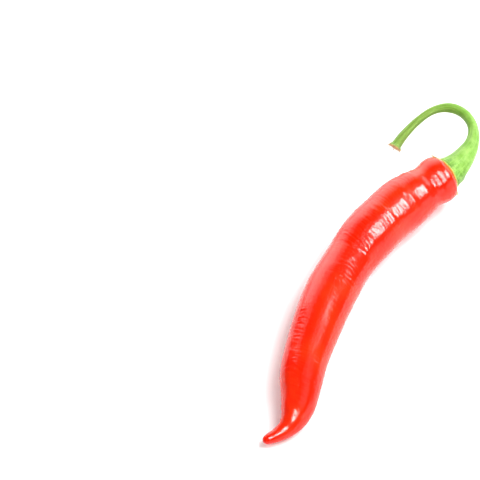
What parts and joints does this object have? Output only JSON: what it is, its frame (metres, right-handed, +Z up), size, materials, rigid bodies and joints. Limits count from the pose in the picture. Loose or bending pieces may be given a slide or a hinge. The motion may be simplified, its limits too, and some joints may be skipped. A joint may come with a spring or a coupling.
{
  "type": "chilli pepper",
  "caption": "Long, slightly bent red chilli pepper with a blunt tip, lying down, with its green calyx cap and hooked stalk.",
  "frame": {"origin": "middle of the outline seen from above, on the surface that the pod lies on", "axes": "+Z up; +Y along the pod from its tip to its stalk"},
  "size_m": [0.0272, 0.1404, 0.0172],
  "materials": {
    "red_skin": "smooth, waxy and glossy skin",
    "green_stalk": "satin, fresh green with lighter ribs"
  },
  "bodies": {
    "root": {"pod": "red_skin", "stalk_and_calyx": "green_stalk"}
  },
  "joints": []
}
